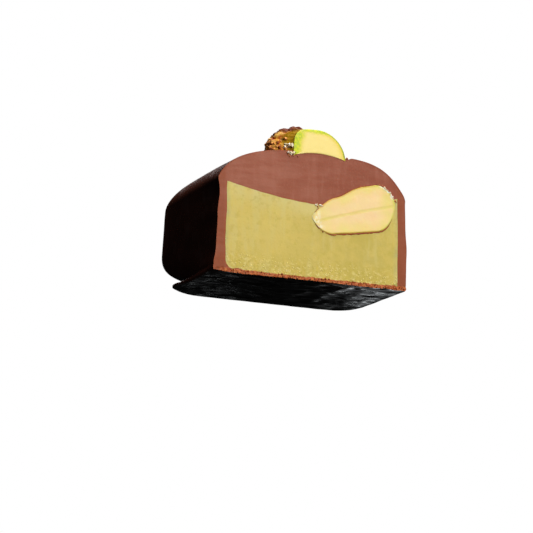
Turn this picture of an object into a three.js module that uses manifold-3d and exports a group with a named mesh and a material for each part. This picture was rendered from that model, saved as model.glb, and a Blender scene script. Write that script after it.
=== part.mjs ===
// Half of a filled chocolate praline, cut straight across so that its inside shows.
//
// A milk chocolate coat of one piece, thin at the walls and thick in the crown, holds a block of
// pistachio marzipan whose poured top sags like a meniscus. A whole pistachio kernel sits where the
// filling meets the crown, and the knife has gone through it lengthwise. Half a kernel lies on the
// crown, flat side down, with most of its wrinkled skin on.
//
// Millimetres, +Z up. The cut face looks to -Y and the praline stands on its flat base.
// Each body is modelled whole, as before the cut, and the knife then takes its front half away.

import * as THREE from 'three';
import { mergeVertices } from 'three/addons/utils/BufferGeometryUtils.js';
import Module from 'manifold-3d';

// ---- Driving dimensions, in millimetres ----

const COAT = {
  halfWidth: 16.95, // at the bottom of the wall
  depth: 23.4, // from the cut to the far end, where the wall bulges most
  shoulder: 14.8, // height where the wall turns into the crown
  shoulderFall: 2.35, // how much lower the shoulder is at the far end
  height: 21.05, // top of the crown
  sideTaper: 0.033, // what the wall draws in for each millimetre of height
  endTaper: 0.05,
  cornerPower: 12, // of the wall's plan, a superellipse: high is square, 2 is round
  crownPower: 2.4, // of the plan at the top of the crown
  flare: 1.1, // how far the side walls stand out at the far corners
  flarePower: 5, // high keeps that to the side walls, away from the crown
  lean: 0.2, // the wall leans this far to the right
  leanHeight: 6, // and has done so from this height up
};

// The crown's section is z = (1 - r^rise)^(1/turn), with r from 0 at the top to 1 at the shoulder.
const CROWN = {
  left: { rise: 2.5, turn: 2 },
  right: { rise: 4.4, turn: 1.2 },
  end: { rise: 3, turn: 1.8 },
};

// Chocolate that ran down stands as a thin foot round a drawn-in neck.
// Above the neck the wall swells out again within the neck's reach.
const NECK = { height: 1.1, reach: 5.3, halfWidth: 16.9, depth: 17.7, power: 4.3, swell: 2.2 };
const FOOT = { height: 0.3, halfWidth: 16.85, depth: 19.4, power: 9, skew: 0.02, lean: -0.2 };

const WALL = 1.6; // thickness of the coat at its sides
const END_WALL = 1.7; // and at its far end
const BASE = 0.4; // thickness of the coat below the filling
const GAP = 0.3; // between a piece and what holds it

// The filling's top is lowest at this place and climbs towards the walls.
const SAG = { x: 2.5, low: 12.6, left: 2.3, right: 2.6, end: 2, power: 1.8, endPower: 2.5 };
const FILLING_LEAN = 0.22; // the filling's middle lies this far to the right

// The kernel in the filling lies in the plane of the cut, blunt end to the right. Its half width is
// peak * u^open * (1 - u)^close, where u runs along its length.
const INNER = {
  tip: [0.2, 10.6],
  length: 15.3,
  tilt: 13.6, // degrees, blunt end up
  upper: { peak: 3.6, open: 0.62, close: 0.24 },
  lower: { peak: 4.05, open: 0.4, close: 0.3 },
  thick: { peak: 3.7, open: 0.5, close: 0.3 },
};

// The half kernel on the crown runs back from the cut, and turns a little to the left.
const TOPPING = {
  x: 1.1, // its middle at the cut
  drift: -0.2, // sideways for each millimetre back
  left: 4.4, // its half widths at the cut
  right: 4.8,
  swell: 0.62, // what its left side gains by swellEnd behind the cut, as a share
  swellEnd: 2.4,
  taper: 0.4, // and what it has lost again by taperEnd
  taperEnd: 7,
  rise: 4.6, // height over its lower edge, at the cut
  crest: 0.07, // how much higher its left side stands behind the cut, as a share
  bed: 20.3, // height of its lower edge
  mound: 0.75, // how far its hollow underside arches up
  front: -2.4, // the whole half kernel's ends, back from the cut
  back: 8.2,
  leftPower: [4, 3], // of its section, at the cut and from leftSoft behind it
  leftSoft: 1.6,
  rightPower: 1.9,
  outline: { peak: 1, open: 0.5, close: 0.5 },
  crag: 0.28, // depth of the wrinkles in its skin
  skinFrom: [0.6, 2.2], // the wrinkles rise between these distances behind the cut
};

// The wrinkles are crossed waves: radians for each millimetre back, waves round, and phase.
const WRINKLES = [
  [2.3, 3, 0],
  [3.1, -5, 1.3],
  [1.2, 8, 0.4],
];

const COLUMNS = 104; // round the coat and the filling
const CORNER_CROWDING = 0.6; // how much closer those columns stand at the corners
const WALL_ROWS = 14;
const CROWN_ROWS = 13;
const FOOT_CROWDING = 1.5; // rows stand closer near the foot, where the wall turns fastest
const KNIFE_REACH = 80;

const COLOURS = {
  coating: 0x8a4a36,
  filling: 0xcdb862,
  kernel_in_filling: 0xf2d796,
  kernel_on_top: 0xc9b04a,
};

// ---- Small helpers ----

const mix = (from, to, share) => from + (to - from) * share;

// 0 below one value, 1 above the other, and a smooth step between.
function step(value, from, to) {
  return THREE.MathUtils.smoothstep(value, from, to);
}

// A point at this angle on the superellipse |x/a|^n + |y/b|^n = 1.
function plan(angle, halfWidth, depth, power) {
  const c = Math.cos(angle);
  const s = Math.sin(angle);
  const reach = (Math.abs(c) ** power + Math.abs(s) ** power) ** (-1 / power);
  return [halfWidth * reach * c, depth * reach * s];
}

// Angle of a column, with the columns crowded at the four corners of the plan. None lies in the
// knife's plane: it passes midway between two of them.
function columnAngle(column, columns) {
  const even = (2 * Math.PI * (column + 0.5)) / columns;
  return even + (CORNER_CROWDING * Math.sin(4 * even)) / 4;
}

// A closed surface: a pole, rings of points from one end to the other, and a pole.
// point(row, column) gives a place for rows 1 to rows - 1, and pole(row) for the two ends.
function closedSurface(rows, columns, point, pole) {
  const places = [pole(0)];
  for (let row = 1; row < rows; row += 1) {
    for (let column = 0; column < columns; column += 1) places.push(point(row, column));
  }
  places.push(pole(rows));
  const at = (row, column) => 1 + (row - 1) * columns + (column % columns);
  const top = places.length - 1;
  const faces = [];
  for (let column = 0; column < columns; column += 1) {
    faces.push(0, at(1, column + 1), at(1, column));
    faces.push(top, at(rows - 1, column), at(rows - 1, column + 1));
    for (let row = 1; row < rows - 1; row += 1) {
      faces.push(at(row, column), at(row, column + 1), at(row + 1, column + 1));
      faces.push(at(row, column), at(row + 1, column + 1), at(row + 1, column));
    }
  }
  const geometry = new THREE.BufferGeometry();
  geometry.setAttribute('position', new THREE.Float32BufferAttribute(places.flat(), 3));
  geometry.setIndex(faces);
  return geometry;
}

// ---- The coat's outside ----

// Half width, depth and corner power of the coat's plan at a height below the shoulder.
function wallPlan(height, withFoot) {
  const above = THREE.MathUtils.clamp((height - NECK.height) / NECK.reach, 0, 1);
  const neck = (1 - above) ** NECK.swell;
  const foot = withFoot ? 1 - step(height, FOOT.height, NECK.height) : 0;
  const wall = {
    halfWidth: COAT.halfWidth - COAT.sideTaper * height,
    depth: COAT.depth - COAT.endTaper * height,
    power: COAT.cornerPower,
  };
  const size = {};
  for (const key of ['halfWidth', 'depth', 'power']) {
    size[key] = mix(mix(wall[key], NECK[key], neck), FOOT[key], foot);
  }
  return { ...size, full: 1 - neck, foot };
}

// Moves a point of a plan outward where the side walls stand out, and adds the lean and the skew.
function settle([x, y], height, full, foot) {
  const sideways = Math.min(1, Math.abs(x / COAT.halfWidth)) ** COAT.flarePower;
  const flare = COAT.flare * Math.sign(x) * sideways * step(y / COAT.depth, 0, 1) * full;
  const lean = COAT.lean * step(height, 0, COAT.leanHeight) + FOOT.lean * foot;
  return [x + flare + lean, y * (1 + (FOOT.skew * foot * x) / COAT.halfWidth), height];
}

// The crown's section constants between the left, the right and the far end.
function crownShape(angle) {
  const right = 0.5 + 0.5 * Math.cos(angle);
  const end = Math.sin(angle) ** 2;
  const blend = (key) => mix(mix(CROWN.left[key], CROWN.right[key], right), CROWN.end[key], end);
  return { rise: blend('rise'), turn: blend('turn'), fall: COAT.shoulderFall * end };
}

// A place on the coat: level 0 is the base's edge, 1 the shoulder and 2 the top of the crown.
function coatPlace(level, angle) {
  const { rise, turn, fall } = crownShape(angle);
  const shoulder = COAT.shoulder - fall;
  const up = Math.min(level, 1) ** FOOT_CROWDING * shoulder;
  const spread = level > 1 ? Math.cos(((level - 1) * Math.PI) / 2) : 1;
  const share = (1 - spread ** rise) ** (1 / turn);
  const height = level > 1 ? shoulder + (COAT.height - shoulder) * share : up;
  const size = wallPlan(up, true);
  const power = mix(size.power, COAT.crownPower, step(level, 0.9, 2));
  const flat = plan(angle, size.halfWidth * spread, size.depth * spread, power);
  return settle(flat, height, size.full, size.foot);
}

function coatGeometry() {
  const rows = 1 + WALL_ROWS + CROWN_ROWS;
  const level = (row) => {
    const above = row - 1 - WALL_ROWS;
    return 1 + above / (above > 0 ? CROWN_ROWS : WALL_ROWS);
  };
  const point = (row, column) => coatPlace(level(row), columnAngle(column, COLUMNS));
  return closedSurface(rows, COLUMNS, point, (row) => [COAT.lean, 0, row === 0 ? 0 : COAT.height]);
}

// ---- The filling, and the room that the coat leaves for it ----

// Height of the filling's top: it climbs to the walls at the left, the right and the far end.
function sagHeight(x, y) {
  const wall = COAT.halfWidth - WALL;
  const rise = x < SAG.x ? SAG.left : SAG.right;
  const reach = x < SAG.x ? wall + SAG.x : wall - SAG.x;
  const sideways = rise * (Math.abs(x - SAG.x) / reach) ** SAG.power;
  const endways = SAG.end * (Math.abs(y) / COAT.depth) ** SAG.endPower;
  return SAG.low + Math.max(sideways, endways);
}

// A block inside the coat's walls, grown on every side by the given amount.
function fillingGeometry(grow) {
  const wallRows = 11;
  const topRows = 6;
  const rows = 2 + wallRows + topRows;
  const floor = BASE + GAP;
  // A point of the ring that the walls allow at this height, drawn in to a share of its spread.
  const ring = (angle, height, spread) => {
    const size = wallPlan(Math.max(height, NECK.height), false);
    const halfWidth = (size.halfWidth - WALL + grow) * spread;
    const flat = plan(angle, halfWidth, (size.depth - END_WALL + grow) * spread, size.power);
    const [x, y] = settle(flat, height, size.full, 0);
    return [x - COAT.lean + FILLING_LEAN, y];
  };
  const point = (row, column) => {
    const angle = columnAngle(column, COLUMNS);
    const rim = sagHeight(...ring(angle, SAG.low + SAG.left, 1));
    const climb = Math.min(1, (row - 1) / wallRows) ** FOOT_CROWDING;
    const spread = 1 - Math.max(0, row - 1 - wallRows) / (topRows + 1);
    const [x, y] = ring(angle, mix(floor, rim, climb), spread);
    return [x, y, climb < 1 ? mix(floor - grow, rim + grow, climb) : sagHeight(x, y) + grow];
  };
  const pole = (row) => [FILLING_LEAN, 0, row === 0 ? floor - grow : sagHeight(FILLING_LEAN, 0) + grow];
  return closedSurface(rows, COLUMNS, point, pole);
}

// ---- The kernels ----

// Share of the peak at u, for a side that opens and closes with these powers.
function almond(u, { peak, open, close }) {
  const widest = open / (open + close);
  return peak * (u / widest) ** open * ((1 - u) / (1 - widest)) ** close;
}

function innerKernelGeometry(grow) {
  const rows = 26;
  const columns = 36;
  const tilt = THREE.MathUtils.degToRad(INNER.tilt);
  const [tipX, tipZ] = INNER.tip;
  const length = INNER.length + 2 * grow;
  const place = (along, across, back) => [
    tipX + along * Math.cos(tilt) - across * Math.sin(tilt),
    back,
    tipZ + along * Math.sin(tilt) + across * Math.cos(tilt),
  ];
  const point = (row, column) => {
    const u = 0.5 - 0.5 * Math.cos((Math.PI * row) / rows);
    const turn = (2 * Math.PI * (column + 0.5)) / columns;
    const side = Math.cos(turn) > 0 ? INNER.upper : INNER.lower;
    const across = Math.cos(turn) * (almond(u, side) + grow);
    const back = -Math.sin(turn) * (almond(u, INNER.thick) + grow);
    return place(u * length - grow, across, back);
  };
  return closedSurface(rows, columns, point, (row) => place(row === 0 ? -grow : length - grow, 0, 0));
}

// Height of the wrinkles at a place on the skin: crossed waves, folded to sharp crests.
function crags(along, around) {
  const wave = ([back, round, phase]) => Math.sin(back * along + round * around + phase);
  const sum = WRINKLES.map(wave).reduce((total, height) => total + height, 0);
  return 1 - (2 * Math.abs(sum)) / WRINKLES.length;
}

function toppingGeometry(grow) {
  const rows = 30;
  const columns = 48;
  const { front, back } = TOPPING;
  const atCut = almond(-front / (back - front), TOPPING.outline);
  // Middle of the underside, at a share of the way from the front end to the back end.
  const spine = (u) => {
    const along = mix(front - grow, back + grow, u);
    return [TOPPING.x + TOPPING.drift * along, along, TOPPING.bed];
  };
  const place = (u, turn) => {
    const [x, along, bed] = spine(u);
    const girth = Math.min(almond(u, TOPPING.outline) / atCut, 1);
    const station = mix(front, back, u);
    const left = Math.cos(turn) < 0;
    const above = Math.sin(turn) > 0;
    const skin = step(station, ...TOPPING.skinFrom) * Math.sqrt(Math.max(Math.sin(turn), 0));
    const rough = TOPPING.crag * crags(station, turn) * skin;
    const leftPower = mix(...TOPPING.leftPower, step(station, 0, TOPPING.leftSoft));
    const power = above ? (left ? leftPower : TOPPING.rightPower) : 2;
    const wide = Math.sign(Math.cos(turn)) * Math.abs(Math.cos(turn)) ** (2 / power);
    const tall = Math.abs(Math.sin(turn)) ** (2 / power);
    const swell = TOPPING.swell * step(station, 0, TOPPING.swellEnd);
    const taper = TOPPING.taper * step(station, TOPPING.swellEnd, TOPPING.taperEnd);
    const reach = left ? TOPPING.left * (1 + swell - taper) : TOPPING.right;
    const crest = left ? TOPPING.crest * step(station, 0, 1) : 0;
    const across = (reach * girth + rough + grow) * wide;
    const top = (TOPPING.rise * (1 + crest) * girth + rough + grow) * tall;
    const hollow = TOPPING.mound * girth * (1 - wide ** 2) - grow;
    return [x + across, along, bed + (above ? top : hollow)];
  };
  const point = (row, column) => {
    const share = 0.5 + 0.5 * Math.cos((Math.PI * row) / rows);
    return place(share, (2 * Math.PI * column) / columns);
  };
  return closedSurface(rows, columns, point, (row) => spine(row === 0 ? 1 : 0));
}

// ---- Joining, cutting and naming ----

const wasm = await Module();
wasm.setup();

function toSolid(geometry) {
  const merged = mergeVertices(geometry, 1e-6);
  const mesh = new wasm.Mesh({
    numProp: 3,
    vertProperties: new Float32Array(merged.getAttribute('position').array),
    triVerts: new Uint32Array(merged.getIndex().array),
  });
  return new wasm.Manifold(mesh);
}

function toGeometry(solid) {
  const { vertProperties, triVerts } = solid.getMesh();
  const geometry = new THREE.BufferGeometry();
  geometry.setAttribute('position', new THREE.Float32BufferAttribute(vertProperties, 3));
  geometry.setIndex(Array.from(triVerts));
  geometry.computeVertexNormals();
  return geometry;
}

// Everything behind the knife's plane, y = 0.
function behindKnife() {
  const block = new THREE.BoxGeometry(KNIFE_REACH, KNIFE_REACH, KNIFE_REACH);
  block.translate(0, KNIFE_REACH / 2, 0);
  block.deleteAttribute('normal');
  block.deleteAttribute('uv');
  return toSolid(block);
}

const kept = behindKnife();
const kernelRoom = toSolid(innerKernelGeometry(GAP));

const solids = {
  coating: toSolid(coatGeometry())
    .subtract(toSolid(fillingGeometry(GAP)))
    .subtract(kernelRoom)
    .subtract(toSolid(toppingGeometry(GAP))),
  filling: toSolid(fillingGeometry(0)).subtract(kernelRoom),
  kernel_in_filling: toSolid(innerKernelGeometry(0)),
  kernel_on_top: toSolid(toppingGeometry(0)),
};

const praline = new THREE.Group();
for (const [name, whole] of Object.entries(solids)) {
  const roughness = name === 'coating' ? 0.35 : 0.7;
  const material = new THREE.MeshStandardMaterial({ color: COLOURS[name], roughness, metalness: 0 });
  const piece = new THREE.Mesh(toGeometry(whole.intersect(kept)), material);
  piece.name = name;
  praline.add(piece);
}

// The origin is the middle of the base of the praline's own box.
const middle = new THREE.Box3().setFromObject(praline).getCenter(new THREE.Vector3());
praline.position.set(-middle.x, -middle.y, 0);
praline.updateMatrixWorld(true);

export default praline;
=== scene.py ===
"""Half of a filled chocolate praline, cut across, in fine detail.

Shapes are worked out in millimetres in the praline's own axes: x to the right of the coat's middle,
y back from the knife's plane, z up from the base. They are moved into the frame, in metres, when
their mesh is made.
"""

import itertools
import math
from types import SimpleNamespace as Sizes

import bmesh
import bpy
import numpy as np
from mathutils import Matrix, Vector


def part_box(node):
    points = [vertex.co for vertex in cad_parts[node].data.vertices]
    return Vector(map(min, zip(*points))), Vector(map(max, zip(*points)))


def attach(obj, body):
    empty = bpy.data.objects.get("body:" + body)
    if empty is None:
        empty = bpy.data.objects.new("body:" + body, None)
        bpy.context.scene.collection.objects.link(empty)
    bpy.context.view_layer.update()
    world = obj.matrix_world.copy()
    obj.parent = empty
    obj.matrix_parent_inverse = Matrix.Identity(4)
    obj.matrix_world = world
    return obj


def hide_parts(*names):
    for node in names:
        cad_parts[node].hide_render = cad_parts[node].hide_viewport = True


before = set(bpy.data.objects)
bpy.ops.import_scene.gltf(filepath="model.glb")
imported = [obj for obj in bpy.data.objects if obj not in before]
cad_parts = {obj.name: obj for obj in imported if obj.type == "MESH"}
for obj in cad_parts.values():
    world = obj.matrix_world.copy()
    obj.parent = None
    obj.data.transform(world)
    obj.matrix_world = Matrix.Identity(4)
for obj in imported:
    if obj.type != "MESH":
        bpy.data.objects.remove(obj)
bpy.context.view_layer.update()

MM = 0.001
PI = math.pi

# ---- Driving dimensions, in millimetres: the solids', or fitted a little closer ----

COAT = Sizes(
    half_width=16.95, depth=23.4, shoulder=14.8, shoulder_fall=2.35, height=21.05, side_taper=0.033,
    end_taper=0.05, corner_power=12, crown_power=2.4, flare=1.1, flare_power=5, lean=0.2, lean_height=6,
)
# The crown's section is z = (1 - r^rise)^(1/turn): rise and turn at the left, the right and the far end.
CROWN_RISE = (2.5, 4.4, 3)
CROWN_TURN = (2, 1.2, 1.8)
NECK = Sizes(height=1.1, reach=5.3, half_width=16.9, depth=17.7, power=4.3, swell=2.2)
FOOT = Sizes(
    height=0.3, half_width=16.85, depth=19.4, power=9, skew=0.02, lean=-0.2, spur=1.5, cut_off=2.4,
    lift=0.38,
)
END_WALL = 1.7
GAP = 0.3  # between the filling and the far wall in the solids; here the two meet
SAG = Sizes(x=2.5, low=12.6, left=2.3, right=2.6, power=1.8)
# How strongly the coat's grid is crowded towards its corners and its foot, with no unit.
CORNER_CROWDING = 0.6
FOOT_CROWDING = 1.5

INNER = Sizes(tip=(0, 10.58), length=15.3, tilt=math.radians(13.6), thick=(3.7, 0.5, 0.3))
# Each side of it is straight, widens along it by a spread, and is rounded at the tip and the end.
UPPER = Sizes(near=3.54, spread=0, tip=10, tip_power=0.88, end=12.2, end_power=0.5, hollow=0.44)
HOLLOW = Sizes(at=6.2, reach=1.7)  # the dip in its upper side: where along it, and how long
LOWER = Sizes(near=3.02, spread=0.088, tip=3.2, tip_power=0.6, end=11, end_power=0.78, hollow=0)
TOPPING = Sizes(
    x=1.1, drift=-0.2, left=4.4, right=4.8, swell=0.62, swell_end=2.4, taper=0.4, taper_end=7, rise=4.6,
    bed=20.3, mound=0.75, front=-2.4, back=8.2, left_power=(4, 3), right_power=1.9,
    outline=(1, 0.5, 0.5), tallest=1.07, crag=0.16,
)
# The skin's wrinkles are crossed waves: radians for each millimetre back, waves round, and phase.
WRINKLES = ((2.3, 3, 0), (3.1, -5, 1.3), (1.2, 8, 0.4))

# ---- Smaller features, in millimetres ----

BASE_LINE = 0.66  # height of the filling's lower edge above the base
SIDES = Sizes(left=-15.08, right=15.38, start=8, end=10.5, push=0.17)  # the left one steps in
CORNER_ROUND = 1.5  # radius of the filling's lower left corner
HUB = (0.4, 8.6)  # x and z of the point that the cut face's rays run out from

# Where the knife dragged the coat's edges out or in: side, height, reach and push.
DRAGS = (
    (-1, 15.4, 0.8, 0.2), (-1, 12.9, 1.1, -0.14), (-1, 9.8, 1.0, 0.1), (-1, 5.8, 2.2, 0.08),
    (-1, 1.4, 1.4, 0.24), (1, 15.6, 0.9, 0.15), (1, 6.9, 1.7, 0.13), (1, 0.35, 0.35, 0.32),
)
FOOT_CORNER = Sizes(x=-16.9, wide=1.5, back=5, high=1.5)  # where the near left corner is lifted
DENT = Sizes(x=6.3, wide=0.45, back=1.2, deep=0.35, low=19, high=20)  # beside the kernel on the crown
BARE = Sizes(turn=2.7, wide=0.34, reach=1.35)  # the flank where the skin of that kernel is gone
PITS = ((1.4, 2.66, 0.22), (2.7, 3.0, 0.2))  # folds in it: millimetres back, turn and reach
LIME = Sizes(left=1.7, top=0.75, right=0.35)  # widths of the slice's lime rim
SPLIT = Sizes(level=-0.32, drop=0.52, start=12, power=1.6, width=0.2, depth=0.012)
# How far the cut kernel and the slice on top stand out of the knife's plane.
KERNEL_PROUD = 0.07
SLICE_PROUD = 0.05

# Edges sharper than this, in degrees, are shaded as edges: in grids, and in crumbs.
SHEET_CREASE = 40
CRUMB_CREASE = 50


# ---- Small helpers ----


def mix(start, end, share):
    """The value this share of the way from start to end."""
    return start + (end - start) * share


def step(value, start, end):
    """0 up to start, 1 from end, and a smooth step between, 3t^2 - 2t^3."""
    share = np.clip((np.asarray(value, float) - start) / (end - start), 0, 1)
    return share * share * (3 - 2 * share)


def bell(value, at, reach):
    """1 at a place, and less away from it: e^(-((value - at) / reach)^2)."""
    return np.exp(-(((value - at) / reach) ** 2))


def lumps(points, size, seed):
    """Smooth random heights from -1 to 1: the corners of a lattice of this size have random heights,
    blended inside each cell with a smooth step."""
    points = np.asarray(points, float)
    table = np.random.default_rng(seed).uniform(-1, 1, 4093)
    cell = points / size
    corner = np.floor(cell).astype(np.int64)
    share = cell - corner
    share = share * share * (3 - 2 * share)
    keys = np.array([73856093, 19349663, 83492791])[: points.shape[-1]]
    total = 0
    for move in itertools.product((0, 1), repeat=points.shape[-1]):
        height = table[((corner + np.array(move)) * keys).sum(-1) % 4093]
        total = total + height * np.prod(np.where(move, share, 1 - share), axis=-1)
    return total


def rough(points, size, seed, octaves=3):
    """Lumps of this size, with finer and lower lumps on them, each half the size of the last."""
    layers = [lumps(points, size / 2**n, seed + n) / 2**n for n in range(octaves)]
    return sum(layers) / (2 - 0.5 ** (octaves - 1))


def pebbles(points, size, seed):
    """Rounded lumps from 0 to 1: one less the squared distance to the nearest spot, with one spot
    at random in each cell of a lattice of this size."""
    table = np.random.default_rng(seed).uniform(0, 1, (4093, 3))
    where = np.asarray(points, float) / size
    corner = np.floor(where).astype(np.int64)
    nearest = np.full(where.shape[:-1], 9.0)
    for move in itertools.product((-1, 0, 1), repeat=3):
        cell = corner + np.array(move)
        spot = cell + table[(cell * np.array([73856093, 19349663, 83492791])).sum(-1) % 4093]
        nearest = np.minimum(nearest, ((where - spot) ** 2).sum(-1))
    return np.clip(1 - nearest, 0, 1)


def normals(points):
    """Unit normals of a grid of points: the cross product of its slopes along columns and rows."""
    across = np.cross(np.gradient(points, axis=1), np.gradient(points, axis=0))
    length = np.linalg.norm(across, axis=-1, keepdims=True)
    return across / np.maximum(length, 1e-9)


def stack(*values):
    """An array of points from their x, y and z, each an array or a number."""
    return np.stack(np.broadcast_arrays(*values), axis=-1).astype(float)


# ---- Meshes ----


def patch(points, finish=0, closed=False, **marks):
    """A grid of points, the number of its material, and values at its points that a material reads."""
    return Sizes(points=np.asarray(points, float), finish=finish, closed=closed, marks=marks)


def to_frame(points):
    """Points in millimetres in the praline's axes, moved into the frame and turned into metres."""
    return (np.asarray(points, float) + SHIFT) * MM


def new_object(name, data):
    """An object with this data, put into the scene."""
    made = bpy.data.objects.new(name, data)
    bpy.context.scene.collection.objects.link(made)
    return made


def weld(mesh, crease):
    """Joins the points of patches that meet, turns every face outward, and shades it smooth except
    at edges sharper than the crease."""
    work = bmesh.new()
    work.from_mesh(mesh)
    bmesh.ops.remove_doubles(work, verts=work.verts, dist=1e-4 * MM)
    bmesh.ops.recalc_face_normals(work, faces=work.faces)
    work.to_mesh(mesh)
    work.free()
    mesh.shade_smooth()
    mesh.set_sharp_from_angle(angle=math.radians(crease))


def add_piece(name, points, faces, numbers, marks, crease, finishes, nodes=()):
    """One piece that rides with the praline: faces between points, with a material's number for each
    face and a value of each mark for each point."""
    mesh = bpy.data.meshes.new(name)
    mesh.from_pydata(to_frame(points), [], faces)
    mesh.polygons.foreach_set("material_index", numbers.astype(np.int32))
    for mark, values in marks.items():
        layer = mesh.attributes.new(mark, "FLOAT", "POINT")
        layer.data.foreach_set("value", values.astype(np.float32))
    weld(mesh, crease)
    for finish in finishes:
        mesh.materials.append(finish)
    piece = new_object(name, mesh)
    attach(piece, "root")
    if nodes:
        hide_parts(*nodes)


def build(name, patches, finishes, nodes=()):
    """One closed piece from patches: each is a grid of points whose neighbours make the faces."""
    names = sorted({mark for part in patches for mark in part.marks})
    places, quads, finish = [], [], []
    marks = {mark: [] for mark in names}
    first = 0
    for part in patches:
        rows, columns = part.points.shape[:2]
        across = columns if part.closed else columns - 1
        row, column = np.meshgrid(np.arange(rows - 1), np.arange(across), indexing="ij")
        here = first + row * columns + column
        beside = first + row * columns + (column + 1) % columns
        quads.append(np.stack([here, beside, beside + columns, here + columns], -1).reshape(-1, 4))
        finish.append(np.full(len(quads[-1]), part.finish))
        places.append(part.points.reshape(-1, 3))
        for mark in names:
            value = np.broadcast_to(part.marks.get(mark, 0), (rows, columns))
            marks[mark].append(value.ravel())
        first += rows * columns
    places, quads, finish = (np.concatenate(parts) for parts in (places, quads, finish))
    marks = {mark: np.concatenate(values) for mark, values in marks.items()}
    add_piece(name, places, quads, finish, marks, SHEET_CREASE, finishes, nodes)


def broken_bits(name, spots, sizes, finish, seed, dents=0.3):
    """Small broken bits in one mesh. Each is a ball of 42 points whose radius is dented at random,
    squeezed along three directions, turned at random and moved to its spot."""
    chance = np.random.default_rng(seed)
    ball = bmesh.new()
    bmesh.ops.create_icosphere(ball, subdivisions=2, radius=1)
    corners = np.array([tuple(v.co) for v in ball.verts])
    faces = np.array([[v.index for v in f.verts] for f in ball.faces])
    ball.free()
    spots = np.asarray(spots, float)
    count = len(spots)
    sizes = np.asarray(sizes, float).reshape(count, -1)
    dented = corners * (1 + dents * chance.uniform(-1, 1, (count, len(corners), 1)))
    squeezed = dented * (sizes / 2 * chance.uniform(0.6, 1.15, (count, 3)))[:, None, :]
    turns = np.linalg.qr(chance.normal(size=(count, 3, 3)))[0]
    points = np.einsum("nij,nkj->nki", turns, squeezed) + spots[:, None, :]
    numbers = faces[None] + len(corners) * np.arange(count)[:, None, None]
    shade = np.repeat(chance.uniform(0, 1, count), len(corners))
    points, numbers = points.reshape(-1, 3), numbers.reshape(-1, 3)
    marks = {"shade": shade}
    add_piece(name, points, numbers, np.zeros(len(numbers)), marks, CRUMB_CREASE, [finish])


# ---- The coat's outside ----


def plan(angle, half_width, depth, power):
    """The point at this angle on the superellipse |x/a|^n + |y/b|^n = 1."""
    c, s = np.cos(angle), np.sin(angle)
    reach = (np.abs(c) ** power + np.abs(s) ** power) ** (-1 / power)
    return half_width * reach * c, depth * reach * s


def wall_plan(height):
    """Half width, depth and corner power of the coat's plan at a height: a wall that draws in as it
    rises, blended into the neck below it, and the neck into the foot."""
    above = np.clip((height - NECK.height) / NECK.reach, 0, 1)
    neck = (1 - above) ** NECK.swell
    foot = 1 - step(height, FOOT.height, NECK.height)
    wall = Sizes(
        half_width=COAT.half_width - COAT.side_taper * height,
        depth=COAT.depth - COAT.end_taper * height,
        power=COAT.corner_power,
    )
    keys = ("half_width", "depth", "power")
    size = {k: mix(mix(getattr(wall, k), getattr(NECK, k), neck), getattr(FOOT, k), foot) for k in keys}
    return Sizes(**size, full=1 - neck, foot=foot)


def coat_place(level, angle):
    """A place on the coat: level 0 is the base's edge, 1 the shoulder, 2 the top of the crown. Up to
    the shoulder it is the wall's plan at that height. Above, the plan shrinks by a cosine while the
    height follows the crown's section. The far walls stand out by a flare, and the wall leans."""
    right, end = 0.5 + 0.5 * np.cos(angle), np.sin(angle) ** 2
    rise, turn = (mix(mix(part[0], part[1], right), part[2], end) for part in (CROWN_RISE, CROWN_TURN))
    shoulder = COAT.shoulder - COAT.shoulder_fall * end
    up = np.minimum(level, 1) ** FOOT_CROWDING * shoulder
    spread = np.where(level > 1, np.cos((np.maximum(level, 1) - 1) * PI / 2), 1).clip(0, 1)
    share = (1 - spread**rise) ** (1 / turn)
    height = np.where(level > 1, shoulder + (COAT.height - shoulder) * share, up)
    size = wall_plan(up)
    power = mix(size.power, COAT.crown_power, step(level, 0.9, 2))
    x, y = plan(angle, size.half_width * spread, size.depth * spread, power)
    sideways = np.minimum(1, np.abs(x / COAT.half_width)) ** COAT.flare_power
    flare = COAT.flare * np.sign(x) * sideways * step(y / COAT.depth, 0, 1) * size.full
    lean = COAT.lean * step(height, 0, COAT.lean_height) + FOOT.lean * size.foot
    corner = size.foot * step(-x / FOOT.half_width, 0.7, 1) * step(y / FOOT.depth, 0.45, 1)
    x = x + flare + lean - FOOT.spur * corner
    y = y * (1 + FOOT.skew * size.foot * x / COAT.half_width) - FOOT.cut_off * corner
    return stack(x, y, height)


def coat_skin():
    """The coat's outside behind the knife's plane: half the turns of coat_place, with the slow
    unevenness of a dipped coat, a lumpy foot, and the left edge dragged in and out by the knife."""
    level = np.concatenate([np.linspace(0, 1, 84, endpoint=False), np.linspace(1, 2, 84)])[:, None]
    even = np.linspace(0, PI, 161)[None, :]
    angle = even + CORNER_CROWDING * np.sin(4 * even) / 4
    points = coat_place(level, angle)
    outward = normals(points)
    outward[:, [0, -1], 1] = 0
    x, y, z = np.moveaxis(points, -1, 0)
    high = step(z, 0.6, 3)
    wave = 0.07 * lumps(points, 6.5, 3) + 0.03 * lumps(points, 2.6, 4)
    foot = 0.13 * rough(points, 1.5, 8) * (1 - step(z, 0.7, 1.6)) * step(y, 0, 1)
    points = points + outward * (wave * high + foot)[..., None]
    for side, at, reach, push in DRAGS:
        dragged = push * bell(z, at, reach) * np.exp(-y / 3.5)
        points[..., 0] += side * dragged * step(side * x, 14, 16)
    dent = DENT.deep * bell(x, DENT.x, DENT.wide) * bell(y, 0, DENT.back)
    points[..., 2] -= dent * step(z, DENT.low, DENT.high)
    points[..., 2] = np.clip(points[..., 2], 0, COAT.height + 0.05)
    points[0, :, 2] = 0
    corner = bell(x, FOOT_CORNER.x, FOOT_CORNER.wide) * bell(y, 0, FOOT_CORNER.back)
    points[..., 2] += FOOT.lift * corner * bell(z, 0, FOOT_CORNER.high)
    points[:, [0, -1], 1] = 0
    points[-1] = points[-1, 0]
    return points


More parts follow.
